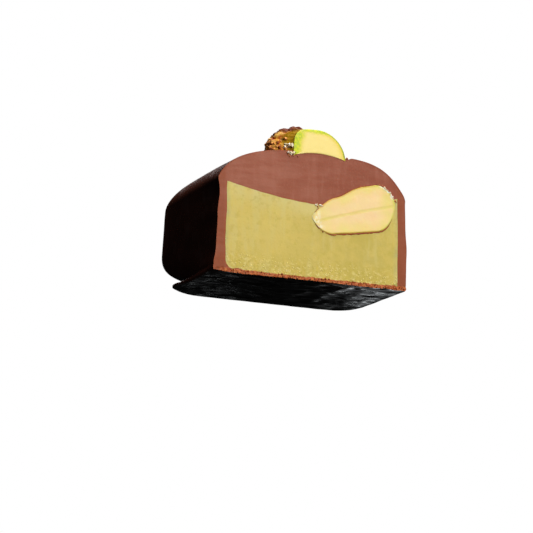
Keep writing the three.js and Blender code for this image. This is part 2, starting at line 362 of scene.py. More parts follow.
def coat_underside(rim):
    """The base: rings from the foot's edge to the middle, each a smaller copy of the edge, with
    shallow ripples that run across it as where soft chocolate was peeled off a sheet."""
    share = np.linspace(1, 0, 141)[:, None, None]
    middle = np.array([COAT.lean + FOOT.lean, 0, 0])
    points = middle + (rim[None] - middle) * share
    x, y = points[..., 0], points[..., 1]
    ripple = np.abs(rough(stack(x * 0.6, y, 0), 2.6, 21)) + 0.8 * np.abs(lumps(stack(x, y, 0), 4.6, 25))
    points[..., 2] = 0.22 * ripple * (1 - share[..., 0] ** 24) + rim[None, :, 2] * share[..., 0] ** 12
    points[-1] = points[-1, 0]
    return points


# ---- The cut face ----


def sag_height(x):
    """Height of the filling's top at the cut: lowest at the sag, climbing to both walls by a power."""
    reach = np.where(x < SAG.x, SAG.x - SIDES.left, SIDES.right - SAG.x)
    rise = np.where(x < SAG.x, SAG.left, SAG.right)
    return SAG.low + rise * (np.abs(x - SAG.x) / reach) ** SAG.power


def filling_sides(height):
    """The filling's left and right edges at a height: nearly upright, with a step and a rounded
    lower corner at the left."""
    low = np.clip((BASE_LINE + CORNER_ROUND - height) / CORNER_ROUND, 0, 1)
    left = SIDES.left + SIDES.push * step(height, SIDES.start, SIDES.end)
    left = left + CORNER_ROUND * (1 - np.sqrt(1 - low**2))
    place = stack(height, 0, 0)
    return left + 0.05 * lumps(place, 1.7, 31), SIDES.right + 0.05 * lumps(place, 2.1, 32)


def filling_outline(bearing):
    """The filling's outline at the cut, as the reach from the hub at each bearing. Its sides are the
    walls' inner faces, the sagging top, and a ragged lower edge."""
    height = np.linspace(BASE_LINE, 15.2, 400)
    left, right = filling_sides(height)
    left_rim = height[np.argmin(np.abs(sag_height(left) - height))]
    right_rim = height[np.argmin(np.abs(sag_height(right) - height))]
    up = height <= right_rim
    down = height <= left_rim
    across = np.linspace(right[up][-1], left[down][-1], 900)
    along = np.linspace(left[0], right[0], 1200)
    ragged = 0.12 * rough(stack(along, 0, 0), 1.3, 41, 4) + 0.05 * lumps(stack(along, 0, 0), 0.22, 47)
    ragged = ragged + 0.3 * np.exp(-(along - left[0]) / 1.4) + 0.3 * np.exp(-(right[0] - along) / 1.0)
    ragged = ragged * step(along, left[0], left[0] + 0.6) * (1 - step(along, right[0] - 0.5, right[0]))
    top = sag_height(across) + 0.03 * lumps(stack(across, 0, 0), 1.1, 44)
    x = np.concatenate([right[up], across, left[down][::-1], along])
    z = np.concatenate([height[up], top, height[down][::-1], BASE_LINE + ragged])
    angle = np.arctan2(z - HUB[1], x - HUB[0])
    reach = np.hypot(x - HUB[0], z - HUB[1])
    order = np.argsort(angle)
    reach = np.interp(bearing, angle[order], reach[order], period=2 * PI)
    return HUB[0] + reach * np.cos(bearing), HUB[1] + reach * np.sin(bearing)


def knife_relief(x, z):
    """How far the cut stands back from the knife's plane: long shallow drags across it, and crumbs
    in the thin layer below the filling."""
    place = stack(x, 0, z)
    drags = 0.006 * lumps(place * (0.2, 1, 1.3), 1, 51) + 0.03 * lumps(place, 5, 52)
    crumbs = 0.1 * rough(place, 0.5, 53) * (1 - step(z, BASE_LINE, BASE_LINE + 0.25))
    return 0.03 + drags + crumbs


def filling_rows(x, z):
    """The filling's body behind its outline, as rings that go back from the cut: the side walls keep
    the outline, then the far end closes to a point. Depth and corners follow the coat's own plan at
    each height, so the filling draws in above the foot as the coat does."""
    angle = np.linspace(0, PI / 2, 15)[:, None]
    wall = wall_plan(np.maximum(z, NECK.height))
    wide, back = plan(angle, 1, wall.depth - END_WALL - GAP, wall.power)
    tall = np.minimum(1, wide * 2 ** (1 / wall.power))
    ring_x = HUB[0] + (x - HUB[0]) * wide
    ring_z = HUB[1] + (z - HUB[1]) * tall
    rings = stack(ring_x, back, ring_z)
    rings[0, :, 1] = knife_relief(x, z)
    rings[-1] = rings[-1, 0]
    return rings


def coat_and_filling():
    """The coat is its skin, its underside, the cut face from the outline to the filling's room, and
    the room's wall. The filling is a disc of rays from the hub, and its body behind."""
    skin = coat_skin()
    base = coat_underside(skin[0])
    edge = np.concatenate([skin[:, 0], skin[-2::-1, -1], base[1:, -1], base[-2:0:-1, 0]])
    bearing = np.arctan2(edge[:, 2] - HUB[1], edge[:, 0] - HUB[0])
    x, z = filling_outline(bearing)
    share = (0.5 - 0.5 * np.cos(np.linspace(0, PI, 25)))[:, None]
    face_x, face_z = mix(edge[:, 0], x, share), mix(edge[:, 2], z, share)
    face = stack(face_x, knife_relief(face_x, face_z) * step(share, 0, 0.02), face_z)
    face[0] = edge
    to_filling = np.hypot(face_x - x, face_z - z)
    room = filling_rows(x, z)
    build(
        "coat",
        [
            patch(skin, 1), patch(base, 2), patch(face, 0, True, to_filling=to_filling),
            patch(room, 0, True, to_filling=1.0),
        ],
        [cut_chocolate(), chocolate_skin(), chocolate_base_in_painted_shade()],
        ["coating"],
    )
    rays = np.linspace(1, 0, 61)[:, None]
    ray_x, ray_z = mix(HUB[0], x, rays), mix(HUB[1], z, rays)
    disc = stack(ray_x, knife_relief(ray_x, ray_z), ray_z)
    left, right = filling_sides(ray_z)
    marks = {
        "below_top": sag_height(ray_x) - ray_z,
        "from_wall": np.minimum(ray_x - left, right - ray_x),
        "above_base": ray_z - BASE_LINE,
    }
    build(
        "marzipan_block", [patch(disc, 0, True, **marks), patch(room, 0, True)],
        [marzipan()], ["filling"],
    )


# ---- The kernel in the filling ----


def almond(u, shape):
    """peak * u^open * (1 - u)^close, scaled so that its highest value is the peak."""
    peak, opening, closing = shape
    widest = opening / (opening + closing)
    return peak * (u / widest) ** opening * ((1 - u) / (1 - widest)) ** closing


def kernel_place(along, across, back):
    """A point of the tilted kernel, from its tip: along it, across it, and back from the cut."""
    c, s = math.cos(INNER.tilt), math.sin(INNER.tilt)
    return stack(INNER.tip[0] + along * c - across * s, back, INNER.tip[1] + along * s + across * c)


def kernel_side(u, shape):
    """Half width of the cut kernel on one side: a line near + spread * x, times (1 - t^2)^power for
    the tip and for the end, where t climbs to 1 there, less a hollow."""
    along = u * INNER.length
    tip = np.clip(1 - along / shape.tip, 0, 1)
    end = np.clip((along - shape.end) / (INNER.length - shape.end), 0, 1)
    rounded = (1 - tip**2) ** shape.tip_power * (1 - end**2) ** shape.end_power
    hollow = shape.hollow * bell(along, HOLLOW.at, HOLLOW.reach)
    return (shape.near + shape.spread * along) * rounded - hollow


def kernel_half(u, side):
    """Half width of the cut kernel at u along it, above (side > 0) or below, with a slight
    wobble, and ragged where the upper right edge was chipped."""
    wobble = 1 + 0.01 * lumps(stack(u * 12, np.sign(side) * 3.0, 0), 1, 61)
    chipped = 0.07 * rough(stack(u * 60, 0, 0), 1, 67) * step(u, 0.88, 0.93) * (side > 0)
    return np.where(side > 0, kernel_side(u, UPPER), kernel_side(u, LOWER)) * (wobble + chipped)


def inner_kernel():
    """The kernel cut lengthwise: a face whose columns run from its lower to its upper edge, with the
    split between its two halves as a groove, and half a turn of body behind."""
    u = (0.5 - 0.5 * np.cos(np.linspace(0, PI, 150)))[:, None]
    t = np.sin(np.linspace(-PI / 2, PI / 2, 91))[None, :]
    half = kernel_half(u, t)
    across = t * half
    along = u * INNER.length
    rim = np.minimum((1 - np.abs(t)) * half, 0.75 * np.minimum(along, INNER.length - along))
    rim = np.maximum(rim, 0)
    lag = np.clip((SPLIT.start - along) / (SPLIT.start - 1), 0, None)
    split = np.abs(across - SPLIT.level + SPLIT.drop * lag**SPLIT.power)
    place = stack(along, across, 0)
    groove = SPLIT.depth * bell(split, 0, SPLIT.width) * step(along, 0.8, 2)
    fibres = 0.008 * lumps(place * (0.5, 1.2, 1), 1, 63)
    broken = 0.07 * np.abs(rough(place, 0.7, 64)) * (1 - step(along, 0.6, 2.0))
    back = groove + fibres + broken * step(rim, 0.15, 0.6) - KERNEL_PROUD * (1 - np.exp(-rim / 0.04))
    face = kernel_place(along, across, back)
    marks = {"rim": rim, "split": split, "along": along, "across": across}
    turn = np.linspace(0, PI, 40)[None, :]
    width = np.where(np.cos(turn) > 0, kernel_half(u, 1), kernel_half(u, -1))
    body = kernel_place(along, np.cos(turn) * width, np.sin(turn) * almond(u, INNER.thick))
    body[:, -1] = face[:, 0]
    body[:, 0] = face[:, -1]
    build(
        "cut_kernel", [patch(face, 0, **marks), patch(body, 0, along=along, split=5.0)],
        [kernel_flesh()], ["kernel_in_filling"],
    )
    skin_line()


def ribbon(centre, sideways, width, depth, back):
    """A flat tube along a path: at each point of it an ellipse, this wide to the side and this deep
    in y. Its ends close because the width and depth fall to nothing there."""
    turn = np.linspace(0, 2 * PI, 10, endpoint=False)[None, :]
    side = sideways[:, None, :] * (np.cos(turn) * width[:, None] / 2)[..., None]
    deep = stack(0, np.sin(turn) * depth[:, None] / 2 + back, 0)
    return centre[:, None, :] + side + deep


def skin_line():
    """The kernel's thin brown skin, a ribbon just outside its lower edge, and two short bits at its
    tip and upper edge. Width and depth are ragged, and fall to nothing at the ends."""
    patches = []
    for start, end, side, thick, seed in ((0.05, 0.95, -1, 0.36, 71), (0.15, 0.9, 1, 0.2, 75),
                                          (0.015, 0.07, -1, 0.2, 77), (0.03, 0.11, 1, 0.16, 79)):
        u = np.linspace(start, end, 140 if end - start > 0.5 else 40)
        ends = np.sqrt(np.clip(np.sin(PI * (u - start) / (end - start)), 0, 1))
        ragged = 0.85 + 0.45 * rough(stack(u * INNER.length, 0, 0), 0.55, seed)
        width = thick * ends * np.maximum(ragged, 0.15)
        edge = side * kernel_half(u, side) + side * width * 0.45
        centre = kernel_place(u * INNER.length, edge, 0)
        slope = np.gradient(centre, axis=0)
        slope /= np.linalg.norm(slope, axis=1, keepdims=True)
        sideways = np.stack([-slope[:, 2], 0 * slope[:, 0], slope[:, 0]], -1)
        patches.append(patch(ribbon(centre, sideways, width, 0.3 * ends, 0.08), 0, True))
    finish = two_tone("kernel_skin_line", tone(150, 66, 24), tone(206, 130, 52), 0.5)
    build("kernel_skin_line", patches, [finish])


# ---- The half kernel on the crown ----


def crags(along, around):
    """Wrinkles from -1 to 1: the sum of crossed waves, folded to sharp crests."""
    total = sum(np.sin(back * along + round_ * around + phase) for back, round_, phase in WRINKLES)
    return 1 - 2 * np.abs(total) / len(WRINKLES)


def topping_body(share, turn):
    """The half kernel behind the cut. Its girth opens and closes as an almond's, its section is a
    superellipse over an arched underside, and its left side swells out behind the cut. The skin is
    wrinkled and lumpy, and the bare left flank has fine ridges that run back from the cut."""
    front_share = -TOPPING.front / (TOPPING.back - TOPPING.front)
    u = mix(front_share, 1, share)
    along = mix(TOPPING.front, TOPPING.back, u)
    girth = np.minimum(almond(u, TOPPING.outline) / almond(front_share, TOPPING.outline), 1)
    lifted = step(turn, 1.85, 1.94)
    near = 1 - step(along, 1.5, 4)
    over = np.maximum(np.sin(turn), 0)
    left_power = mix(*TOPPING.left_power, step(along, 0, 1.6))
    power = np.where(np.cos(turn) < 0, left_power, TOPPING.right_power)
    power = np.where(np.sin(turn) < 0, 2, power)
    wide = np.sign(np.cos(turn)) * np.abs(np.cos(turn)) ** (2 / power)
    tall = np.abs(np.sin(turn)) ** (2 / power)
    place = stack(along, 6 * wide * girth, 5 * tall * np.sign(np.sin(turn)) * girth)
    flank = bell(turn, BARE.turn, BARE.wide)
    start = 0.12 + BARE.reach * flank + 0.3 * rough(place, 1.2, 81)
    skin = step(along, start, start + 0.25) * (over > 0)
    coarse = TOPPING.crag * crags(along, turn) * step(along, 0.6, 2.2)
    pebbled = 0.6 * pebbles(place, 1.0, 84) + 0.45 * pebbles(place, 0.5, 88) - 0.55
    ridges = np.sin(12 * TOPPING.rise * tall + 3 * along + lumps(place, 1.2, 89))
    ridges = 0.025 * ridges * step(along, 0.05, 0.2)
    bump = (coarse * (0.3 + 0.5 * skin) + pebbled * skin + ridges * (1 - skin)) * np.sqrt(over)
    for at, round_at, reach in PITS:
        bump = bump - 0.5 * bell(along, at, reach) * bell(turn, round_at, 0.09)
    bump = bump * np.clip((1 - share) * 6, 0, 1) * np.clip(along * 3, 0, 1)
    bump = bump * mix(1, mix(0.2, 1, lifted), near)
    swell = 1 + TOPPING.swell * step(along, 0, TOPPING.swell_end)
    swell = swell - TOPPING.taper * step(along, TOPPING.swell_end, TOPPING.taper_end)
    reach = np.where(np.cos(turn) < 0, TOPPING.left * swell, TOPPING.right) * girth
    crest = mix(-0.1 * step(along, 0.1, 1.5), (TOPPING.tallest - 1) * step(along, 0.1, 0.9), lifted)
    top = (TOPPING.rise * girth * (1 + crest * near) + bump) * tall
    x = TOPPING.x + TOPPING.drift * along + (reach + bump) * wide
    z = TOPPING.bed + np.where(np.sin(turn) > 0, top, TOPPING.mound * girth * (1 - wide**2))
    pale = step(turn + 0.12 * rough(place, 0.9, 97), 2.3, 2.48) * (1 - step(along, 3.5, 5.5))
    return stack(x, along, z), {"skin": skin, "bump": bump, "pale": pale, "along": along}


def topping():
    """The half kernel on the crown: a cut slice, whose rings shrink to its middle, and the body. The
    slice is lime along its left edge and, more thinly, its top, and dark olive along its right."""
    turn = np.linspace(0, 2 * PI, 260, endpoint=False)[None, :]
    share = np.sin(np.linspace(0, PI / 2, 180))[:, None]
    body, body_marks = topping_body(share, turn)
    body[-1] = body[-1].mean(0)
    edge = body[0]
    middle = np.array([TOPPING.x, 0, TOPPING.bed + 0.5 * TOPPING.rise])
    rings = np.linspace(1, 0, 61)[:, None, None]
    face = middle + (edge[None] - middle) * rings
    span = np.linalg.norm(edge - middle, axis=1)[None, :]
    rim = (1 - rings[..., 0]) * span
    face[..., 1] = -SLICE_PROUD * (1 - np.exp(-rim / 0.08)) + 0.006 * lumps(face, 0.8, 92)
    face[0] = edge
    rim = rim + 0.12 * rough(face, 0.7, 94)
    left = step(-np.cos(turn), 0.3, 0.8) * (np.sin(turn) > -0.25)
    above = np.where(np.sin(turn) > 0, 1.0, 0.0) * (1 - left)
    right = step(np.cos(turn), 0.0, 0.7) * above
    edged = np.maximum(left, above)
    serrated = 0.3 * rough(face, 0.45, 96)
    thick = (LIME.left + serrated) * left + mix(LIME.top, LIME.right, right) * above + 0.02
    lime = (1 - step(rim, 0.35 * thick, 1.1 * thick)) * edged
    corner = step(face[..., 0], 4.2, 5.8)
    yellow = np.maximum((1 - step(rim, 0.1, 0.35 + 2.1 * left + 0.8 * above)) * edged, 0.7 * corner)
    marks = {"lime": lime, "yellow": yellow, "dark": right * bell(rim, 0, 0.2)}
    build(
        "kernel_topping",
        [patch(face, 0, True, **marks), patch(body, 1, True, **body_marks)],
        [slice_flesh(), topping_skin()], ["kernel_on_top"],
    )


# ---- Crumbs ----


def scatter(chance, count, low, high):
    """Random spots, evenly spread in a box between two corners."""
    return chance.uniform(low, high, (count, 3))


def strew(name, chance, kinds, finish, seed, dents=0.3):
    """Broken bits in one mesh. Each kind is its spots, and the least and the greatest width."""
    spots = np.concatenate([where for where, _, _ in kinds])
    sizes = np.concatenate([chance.uniform(low, high, len(where)) for where, low, high in kinds])
    broken_bits(name, spots, sizes, finish, seed, dents)


def kernel_edge(shares, side, beyond):
    """Spots along the cut kernel's edge, above (1) or below (-1), this far outside it."""
    return np.array([kernel_place(u * INNER.length, side * (kernel_half(np.array(u), side) + beyond), -0.02)
                     for u in shares])


def crumbs():
    """Loose and half-buried bits, each kind in one mesh: at the cut kernel's ends and edge, on the
    left flank and foot of the kernel on the crown, and along the cut face's lower edge."""
    chance = np.random.default_rng(5)
    tip = scatter(chance, 12, (0.2, -0.05, 12.45), (1.8, 0.0, 12.8))
    corner = kernel_edge(np.linspace(0.915, 0.993, 14), 1, 0.04)
    corner = corner + chance.uniform(-0.09, 0.09, corner.shape)
    flank = scatter(chance, 14, (0, 0.1, 21.55), (0, 0.9, 22.3))
    flank[:, 0] = -3.3 - 1.3 * flank[:, 1] + chance.uniform(-0.1, 0.1, 14)
    face = scatter(chance, 12, (-4.3, -0.12, 20.3), (-3.2, -0.02, 20.85))
    kinds = (tip, 0.12, 0.3), (corner, 0.15, 0.38), (flank, 0.2, 0.46), (face, 0.18, 0.4)
    finish = two_tone("pale_crumb", tone(222, 202, 150), tone(255, 246, 226), 0.3)
    strew("pale_crumbs", chance, kinds, finish, 11, 0.45)
    edge = kernel_edge(np.linspace(0.84, 0.995, 9), 1, 0.14)
    low = kernel_edge((0.05, 0.07, 0.09, 0.19, 0.21, 0.23), -1, 0.18)
    dark = scatter(chance, 9, (0.3, 0.0, 12.15), (2.0, 0.05, 12.9))
    share, turn = chance.uniform((0.1, 2.72), (0.54, 3.08), (34, 2)).T
    beside = topping_body(share, turn)[0]
    below = scatter(chance, 16, (-4.8, -0.08, 20.0), (-2.3, -0.02, 20.8))
    kinds = (edge, 0.12, 0.3), (low, 0.16, 0.32), (dark, 0.12, 0.3), (beside, 0.25, 0.65), (below, 0.1, 0.28)
    finish = two_tone("flake", tone(146, 68, 28), tone(236, 162, 84), 0.3)
    strew("skin_flakes", chance, kinds, finish, 12)
    along = np.linspace(-15.6, 16.7, 210) + chance.uniform(-0.1, 0.1, 210)
    height = chance.uniform(0.1, 0.7, 210)
    spots = np.stack([along, chance.uniform(-0.03, 0.08, 210), height], -1)
    sizes = chance.uniform(0.1, 0.32, 210)
    extra = np.array([[6.2, 0.05, 20.78], [6.4, 0.1, 20.7], [14.9, -0.02, 14.75], [15.1, -0.02, 14.6]])
    spots = np.concatenate([spots, extra])
    sizes = np.concatenate([sizes, (0.4, 0.25, 0.3, 0.22)])
    finish = two_tone("chocolate_crumb", tone(160, 74, 38), tone(202, 120, 68), 0.3)
    broken_bits("chocolate_crumbs", spots, sizes, finish, 13)


# ---- Materials ----


STUDIO_SHEEN = 0.014  # what the lights' gloss adds to a dull face, in linear light


def tone(red, green, blue):
    """A colour as it looks in the studio, 0 to 255, turned into linear light, less the sheen."""
    share = np.array([red, green, blue]) / 255
    linear = np.where(share <= 0.04045, share / 12.92, ((share + 0.055) / 1.055) ** 2.4)
    return (*np.maximum(linear - STUDIO_SHEEN, 0.002).tolist(), 1.0)


def new_node(tree, kind, inputs=(), **settings):
    """A node with these settings. An input is a number, or another node's output to link to."""
    made = tree.nodes.new(kind)
    for key, value in settings.items():
        setattr(made, key, value)
    for socket, value in dict(inputs).items():
        if isinstance(value, bpy.types.NodeSocket):
            tree.links.new(value, made.inputs[socket])
        else:
            made.inputs[socket].default_value = value
    return made


class Finish:
    """A material, and short words for its nodes. Patterns are in millimetres on Object coordinates."""

    def __init__(self, name, specular, soft=()):
        """Soft is how much light goes in, how deep each colour goes, and the scale in metres."""
        self.material = bpy.data.materials.new(name)
        self.material.use_nodes = True
        self.tree = self.material.node_tree
        self.shader = self.tree.nodes["Principled BSDF"]
        sockets = ("Specular IOR Level", "Subsurface Weight", "Subsurface Radius", "Subsurface Scale")
        for socket, value in zip(sockets, (specular, *soft)):
            self.shader.inputs[socket].default_value = value
        place = self.node("ShaderNodeTexCoord").outputs["Object"]
        scaled = self.node("ShaderNodeVectorMath", {0: place, 1: (1 / MM,) * 3}, operation="MULTIPLY")
        self.place = scaled.outputs[0]
        self.colour = None

    def node(self, kind, inputs=(), **settings):
        """A node of this finish."""
        return new_node(self.tree, kind, inputs, **settings)

    def mark(self, name):
        """A value that the mesh carries at its points."""
        return self.node("ShaderNodeAttribute", attribute_name=name).outputs["Fac"]

    def noise(self, size, detail=2, stretch=(1, 1, 1), contrast=0.5):
        """Cloudy noise with spots of this size in millimetres, from 0 to 1, drawn out along the axes
        where the stretch is small."""
        where = self.place
        if stretch != (1, 1, 1):
            scaled = self.node("ShaderNodeVectorMath", {0: where, 1: stretch}, operation="MULTIPLY")
            where = scaled.outputs[0]
        inputs = {"Vector": where, "Scale": 1 / size, "Detail": detail, "Roughness": contrast}
        return self.node("ShaderNodeTexNoise", inputs).outputs["Fac"]

    def cells(self, size):
        """The distance from the nearest of random spots, this many millimetres apart."""
        made = self.node("ShaderNodeTexVoronoi", {"Vector": self.place, "Scale": 1 / size})
        return made.outputs["Distance"]

    def sums(self, operation, first, second=0.0, clamp=False):
        """A sum, product or other result of two numbers."""
        made = self.node("ShaderNodeMath", {0: first, 1: second}, operation=operation, use_clamp=clamp)
        return made.outputs[0]

    def times(self, first, second):
        """The product of two numbers."""
        return self.sums("MULTIPLY", first, second)

    def band(self, value, start, end, low=0.0, high=1.0):
        """The value's smooth step from start to end, as a number from low to high."""
        inputs = {"Value": value, "From Min": start, "From Max": end, "To Min": low, "To Max": high}
        made = self.node("ShaderNodeMapRange", inputs, interpolation_type="SMOOTHSTEP")
        return made.outputs["Result"]

    def blend(self, share, first, second):
        """Two colours mixed by a share."""
        inputs = {"Factor": share, 6: first, 7: second}
        return self.node("ShaderNodeMix", inputs, data_type="RGBA").outputs[2]

    def lay(self, colour, share, *band):
        """Lays a colour over the colour so far, by a share, or by its band if a band's ends follow."""
        if band:
            share = self.band(share, *band)
        self.colour = self.blend(share, self.colour, colour)

    def axis(self, name):
        """The place's x, y or z, in millimetres."""
        return self.node("ShaderNodeSeparateXYZ", {0: self.place}).outputs[name]

    def done(self, roughness, *bumps):
        """Links the colour, the roughness and the bumps to the shader, and hands over the material.
        The roughness is what a band takes. Each bump is a height pattern and its depth in
        millimetres, and lies on the one before it."""
        ends = {"Base Color": self.colour, "Roughness": self.band(*roughness)}
        under = {}
        for height, depth in bumps:
            inputs = {"Height": height, "Distance": depth * MM, "Strength": 1.0, **under}
            under["Normal"] = self.node("ShaderNodeBump", inputs).outputs["Normal"]
        for socket, value in {**ends, **under}.items():
            self.tree.links.new(value, self.shader.inputs[socket])
        return self.material


def cut_chocolate():
    """Chocolate that the knife went through: dull, rosy where it is thick, paler at the upper left
    and darker to the right and lower down as painted light falling off across the face, redder lower
    down, streaked by the knife, and warmer where it meets the filling."""
    made = Finish("cut_chocolate", 0.2, (0.15, (1.0, 0.35, 0.2), 0.4 * MM))
    x, z = made.axis("X"), made.axis("Z")
    # Painted light: the blends by right and high make the face paler at the upper left and darker to the
    # right and lower down.
    right = made.band(x, -13, 14)
    high = made.band(z, 1, 19)
    upper = made.blend(right, tone(164, 97, 73), tone(146, 77, 53))
    lower = made.blend(right, tone(160, 90, 58), tone(144, 73, 40))
    made.colour = made.blend(high, lower, upper)
    made.lay(made.blend(0.2, made.colour, tone(176, 114, 94)), made.noise(3.5, 3), 0.3, 0.7)
    drag = made.noise(1.0, 4, (0.25, 1, 1.4), 0.6)
    made.lay(tone(148, 84, 66), drag, 0.35, 0.7, 0.0, 0.45)
    made.lay(tone(172, 108, 86), made.noise(1.0, 3, (1.2, 1, 0.25)), 0.45, 0.75, 0.0, 0.35)
    made.lay(tone(184, 122, 100), made.cells(0.7), 0.0, 0.16, 0.5, 0.0)
    made.lay(tone(148, 78, 48), made.sums("ABSOLUTE", x), 14.9, 15.5, 0.0, 0.6)
    made.lay(tone(160, 82, 46), made.mark("to_filling"), 0.05, 0.45, 0.7, 0.0)
    low = made.times(made.band(z, 0.6, 0.9, 1.0, 0.0), made.band(x, -16.4, -15.2))
    crumbly = made.blend(made.band(made.noise(0.6, 3), 0.35, 0.65), tone(172, 86, 46), tone(200, 118, 66))
    made.lay(crumbly, low)
    return made.done((drag, 0.3, 0.8, 0.5, 0.68), (drag, 0.012), (made.noise(0.4, 3), 0.02))


def chocolate_skin():
    """The coat's outside: deep brown milk chocolate with an even satin gloss, faintly uneven, with
    a few dull patches and a redder tone low down, painted warm light as if thrown up from below."""
    made = Finish("chocolate_skin", 0.5, (0.1, (1.0, 0.3, 0.2), 0.4 * MM))
    cloud = made.band(made.noise(5, 3), 0.3, 0.7)
    made.colour = made.blend(cloud, tone(80, 46, 38), tone(90, 52, 42))
    # Painted light: the redder tone below 6 mm, strongest at the foot, stands for warm light thrown up from
    # below.
    made.lay(tone(96, 48, 38), made.axis("Z"), 1, 6, 0.5, 0.0)
    dull = made.band(made.noise(2.2, 4), 0.45, 0.75)
    return made.done((dull, 0, 1, 0.26, 0.42), (made.noise(2.2, 3), 0.03))


def chocolate_base_in_painted_shade():
    """The underside: darker, as painted shade for a base that sits in shadow, and wet-looking and
    rippled, as where it set on a sheet.
    """
    made = Finish("chocolate_base_in_painted_shade", 0.5)
    cloud = made.band(made.noise(3, 3), 0.35, 0.7)
    # Painted shade: these near-black browns stand for the shadow that the base sits in.
    made.colour = made.blend(cloud, tone(34, 18, 14), tone(52, 28, 21))
    roughness = made.noise(1.2, 3, (0.4, 1, 1)), 0.35, 0.7, 0.16, 0.4
    return made.done(roughness, (made.noise(2.6, 1.2, (0.6, 1.1, 1)), 0.26))


def marzipan():
    """Pistachio marzipan: fine nut paste, yellow-green, paler at the left and under the crown and
    darker to the right and near the base as painted light falling off across the face, greener along
    the walls, with bright grains near the base that the knife dragged up."""
    made = Finish("marzipan", 0.2, (0.35, (1.0, 0.8, 0.25), 0.8 * MM))
    x = made.axis("X")
    top, wall, low = (made.mark(name) for name in ("below_top", "from_wall", "above_base"))
    # Painted light: paler at the left and near the top, darker to the right and near the base.
    made.colour = made.blend(made.band(x, -9, 12), tone(216, 193, 104), tone(202, 181, 90))
    made.lay(tone(222, 205, 133), top, 0.2, 3.6, 0.75, 0.0)
    made.lay(tone(205, 182, 83), low, 0.5, 5, 0.6, 0.0)
    made.lay(tone(194, 184, 116), wall, 0.1, 0.9, 0.85, 0.0)
    made.lay(tone(221, 196, 104), made.noise(2.0, 4), 0.4, 0.65, 0.0, 0.5)
    made.lay(tone(216, 202, 128), made.noise(1.0, 2, (0.8, 1, 0.12)), 0.45, 0.7, 0.0, 0.4)
    made.lay(tone(198, 176, 82), made.noise(0.7, 3), 0.5, 0.7, 0.0, 0.4)
    many = made.band(low, 0.6, 3.8, 1.0, 0.0)
    soft = made.band(made.noise(0.55, 4, (0.7, 1, 1), 0.6), 0.5, 0.66)
    made.lay(tone(226, 208, 128), made.times(soft, many))
    clump = made.band(made.noise(0.9, 2), 0.4, 0.6)
    grain = made.times(made.band(made.cells(0.42), 0.1, 0.36, 1.0, 0.0), clump)
    grain = made.times(grain, many)
    made.lay(tone(240, 226, 156), made.times(grain, 0.75))
    dark = made.times(made.band(made.noise(0.4, 3), 0.54, 0.7), many)
    made.lay(tone(186, 162, 66), made.times(dark, 0.6))
    return made.done((made.noise(0.8, 3), 0.3, 0.7, 0.5, 0.66), (made.noise(0.3, 3), 0.01), (grain, 0.06))


def kernel_flesh():
    """The cut pistachio: warm cream, yellow towards its rim and tip, with a thin yellow-green line
    round it and along the split, and white broken patches at the tip and the upper right."""
    made = Finish("kernel_flesh", 0.35, (0.3, (1.0, 0.7, 0.35), 0.8 * MM))
    rim, split, along = made.mark("rim"), made.mark("split"), made.mark("along")
    made.colour = made.blend(made.band(rim, 0.15, 2.4), tone(240, 217, 116), tone(250, 216, 154))
    made.lay(tone(242, 218, 134), along, 1.5, 7.0, 0.7, 0.0)
    made.lay(tone(238, 216, 120), along, 11.5, 15, 0.0, 0.8)
    made.lay(tone(252, 210, 156), made.noise(2.4, 2), 0.4, 0.7, 0.0, 0.5)
    made.lay(tone(246, 222, 148), made.noise(1.4, 3, (0.6, 1, 1.6)), 0.4, 0.75, 0.0, 0.25)
    across = made.mark("across")
    edge = made.blend(made.band(across, 0.2, 1.6), tone(216, 186, 60), tone(208, 152, 44))
    edge = made.blend(made.band(along, 9, 14.5), edge, tone(206, 200, 76))
    made.lay(edge, rim, 0.06, 0.34, 0.85, 0.0)
    far_end = made.times(made.band(along, 12, 14, 0.0, 0.5), made.band(rim, 0.1, 0.7, 1.0, 0.0))
    made.lay(tone(216, 206, 84), far_end)
    made.lay(tone(224, 206, 92), split, 0.08, 0.42, 0.55, 0.0)
    ragged = made.noise(0.5, 3)
    tip = made.times(made.band(along, 0.9, 2.0, 1.0, 0.0), made.band(ragged, 0.42, 0.6))
    chip = made.times(made.band(along, 12.9, 13.6), made.band(across, 0.6, 1.3))
    chip = made.times(chip, made.band(made.sums("ADD", rim, ragged), 0.72, 0.95, 1.0, 0.0))
    tip = made.times(tip, 0.7)
    made.lay(tone(254, 247, 214), made.sums("MAXIMUM", tip, chip))
    return made.done((made.noise(0.7, 3), 0.3, 0.7, 0.42, 0.6), (made.noise(0.5, 3), 0.01))


def slice_flesh():
    """The cut slice on top: pale cream, then yellow, lime green at its edges, and olive at its right."""
    made = Finish("slice_flesh", 0.25, (0.05, (1.0, 0.8, 0.3), 0.5 * MM))
    made.colour = made.blend(made.mark("yellow"), tone(252, 227, 136), tone(238, 211, 62))
    made.lay(tone(250, 232, 152), made.noise(1.2, 3), 0.45, 0.75, 0.0, 0.25)
    lime = made.blend(made.band(made.noise(0.5, 2), 0.4, 0.6), tone(222, 224, 0), tone(186, 206, 0))
    made.lay(lime, made.mark("lime"))
    made.lay(tone(130, 132, 14), made.mark("dark"))
    return made.done((made.noise(0.6, 2), 0.3, 0.7, 0.4, 0.55), (made.noise(0.5, 2), 0.006))


